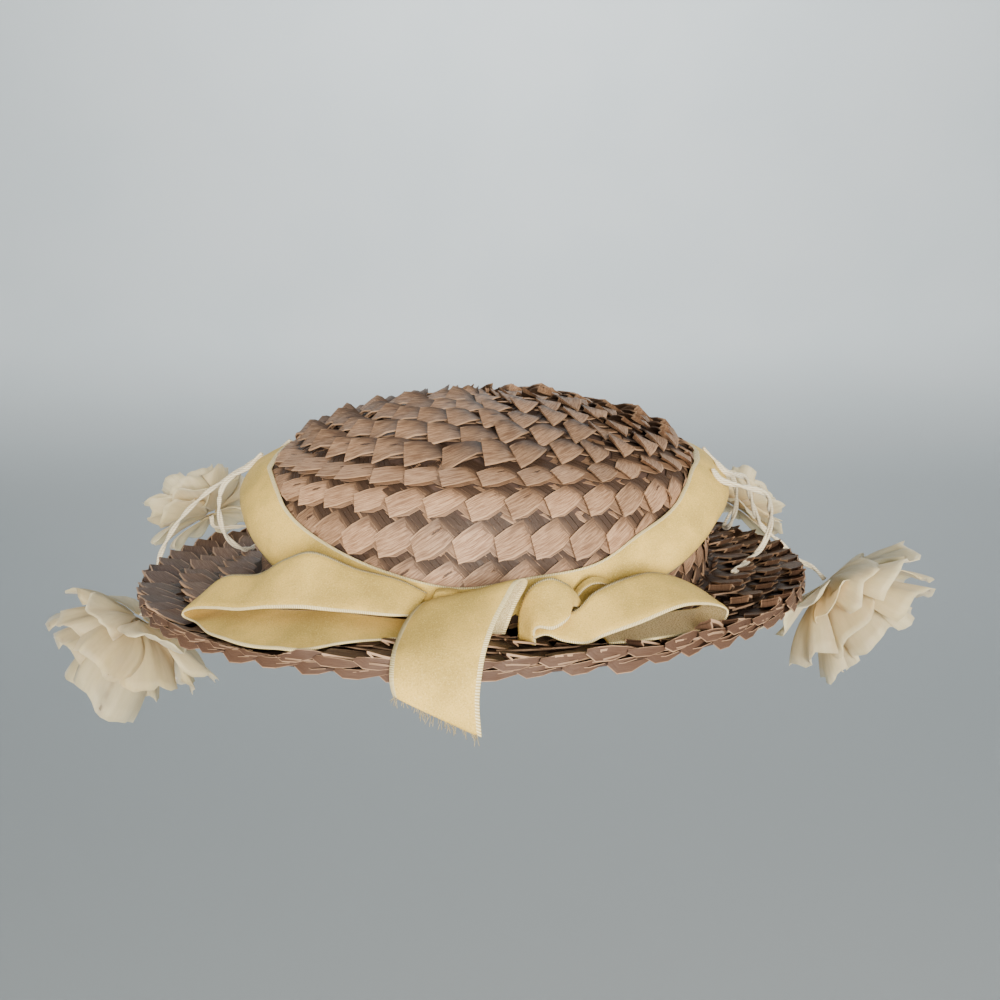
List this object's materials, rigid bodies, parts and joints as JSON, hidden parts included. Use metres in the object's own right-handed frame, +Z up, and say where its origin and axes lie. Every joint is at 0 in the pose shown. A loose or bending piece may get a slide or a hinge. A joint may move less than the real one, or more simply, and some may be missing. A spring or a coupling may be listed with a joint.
{
  "type": "small brimmed straw hat with a ribbon bow and silk flowers",
  "caption": "Braided straw hat with a low round crown and narrow brim, a velvet ribbon band with a bow and hanging tail, and silk flowers on wire stems at both sides.",
  "frame": {"origin": "centre of the head opening, level with the underside of the brim, where the hat sits on a head", "axes": "+Z up through the crown, -Y towards the bow at the back of the hat, +X to the right as seen from the bow"},
  "size_m": [0.3726, 0.2589, 0.1338],
  "materials": {
    "straw": "matt plaited straw, dyed pinkish taupe, paler along worn edges",
    "velvet": "cream velvet ribbon with a satin back and a looped selvedge",
    "silk": "thin ivory silk, a little frayed",
    "stem": "wire wrapped in pale thread"
  },
  "bodies": {
    "root": {"crown": "straw", "brim": "straw", "ribbon_band": "velvet", "bow_knot": "velvet", "bow_left_loop": "velvet", "bow_right_loop": "velvet", "bow_puff": "velvet", "bow_tuck": "velvet", "bow_tail": "velvet", "flower_right_drop_outer": "silk", "flower_right_drop_inner": "silk", "flower_right_drop_heart": "silk", "flower_right_brim_outer": "silk", "flower_right_brim_inner": "silk", "flower_right_brim_heart": "silk", "flower_left_drop_outer": "silk", "flower_left_drop_inner": "silk", "flower_left_drop_heart": "silk", "flower_left_brim_outer": "silk", "flower_left_brim_inner": "silk", "flower_left_brim_heart": "silk", "stem_right_drop": "stem", "stem_right_brim": "stem", "stem_right_curl": "stem", "stem_left_drop": "stem", "stem_left_brim": "stem"}
  },
  "joints": []
}
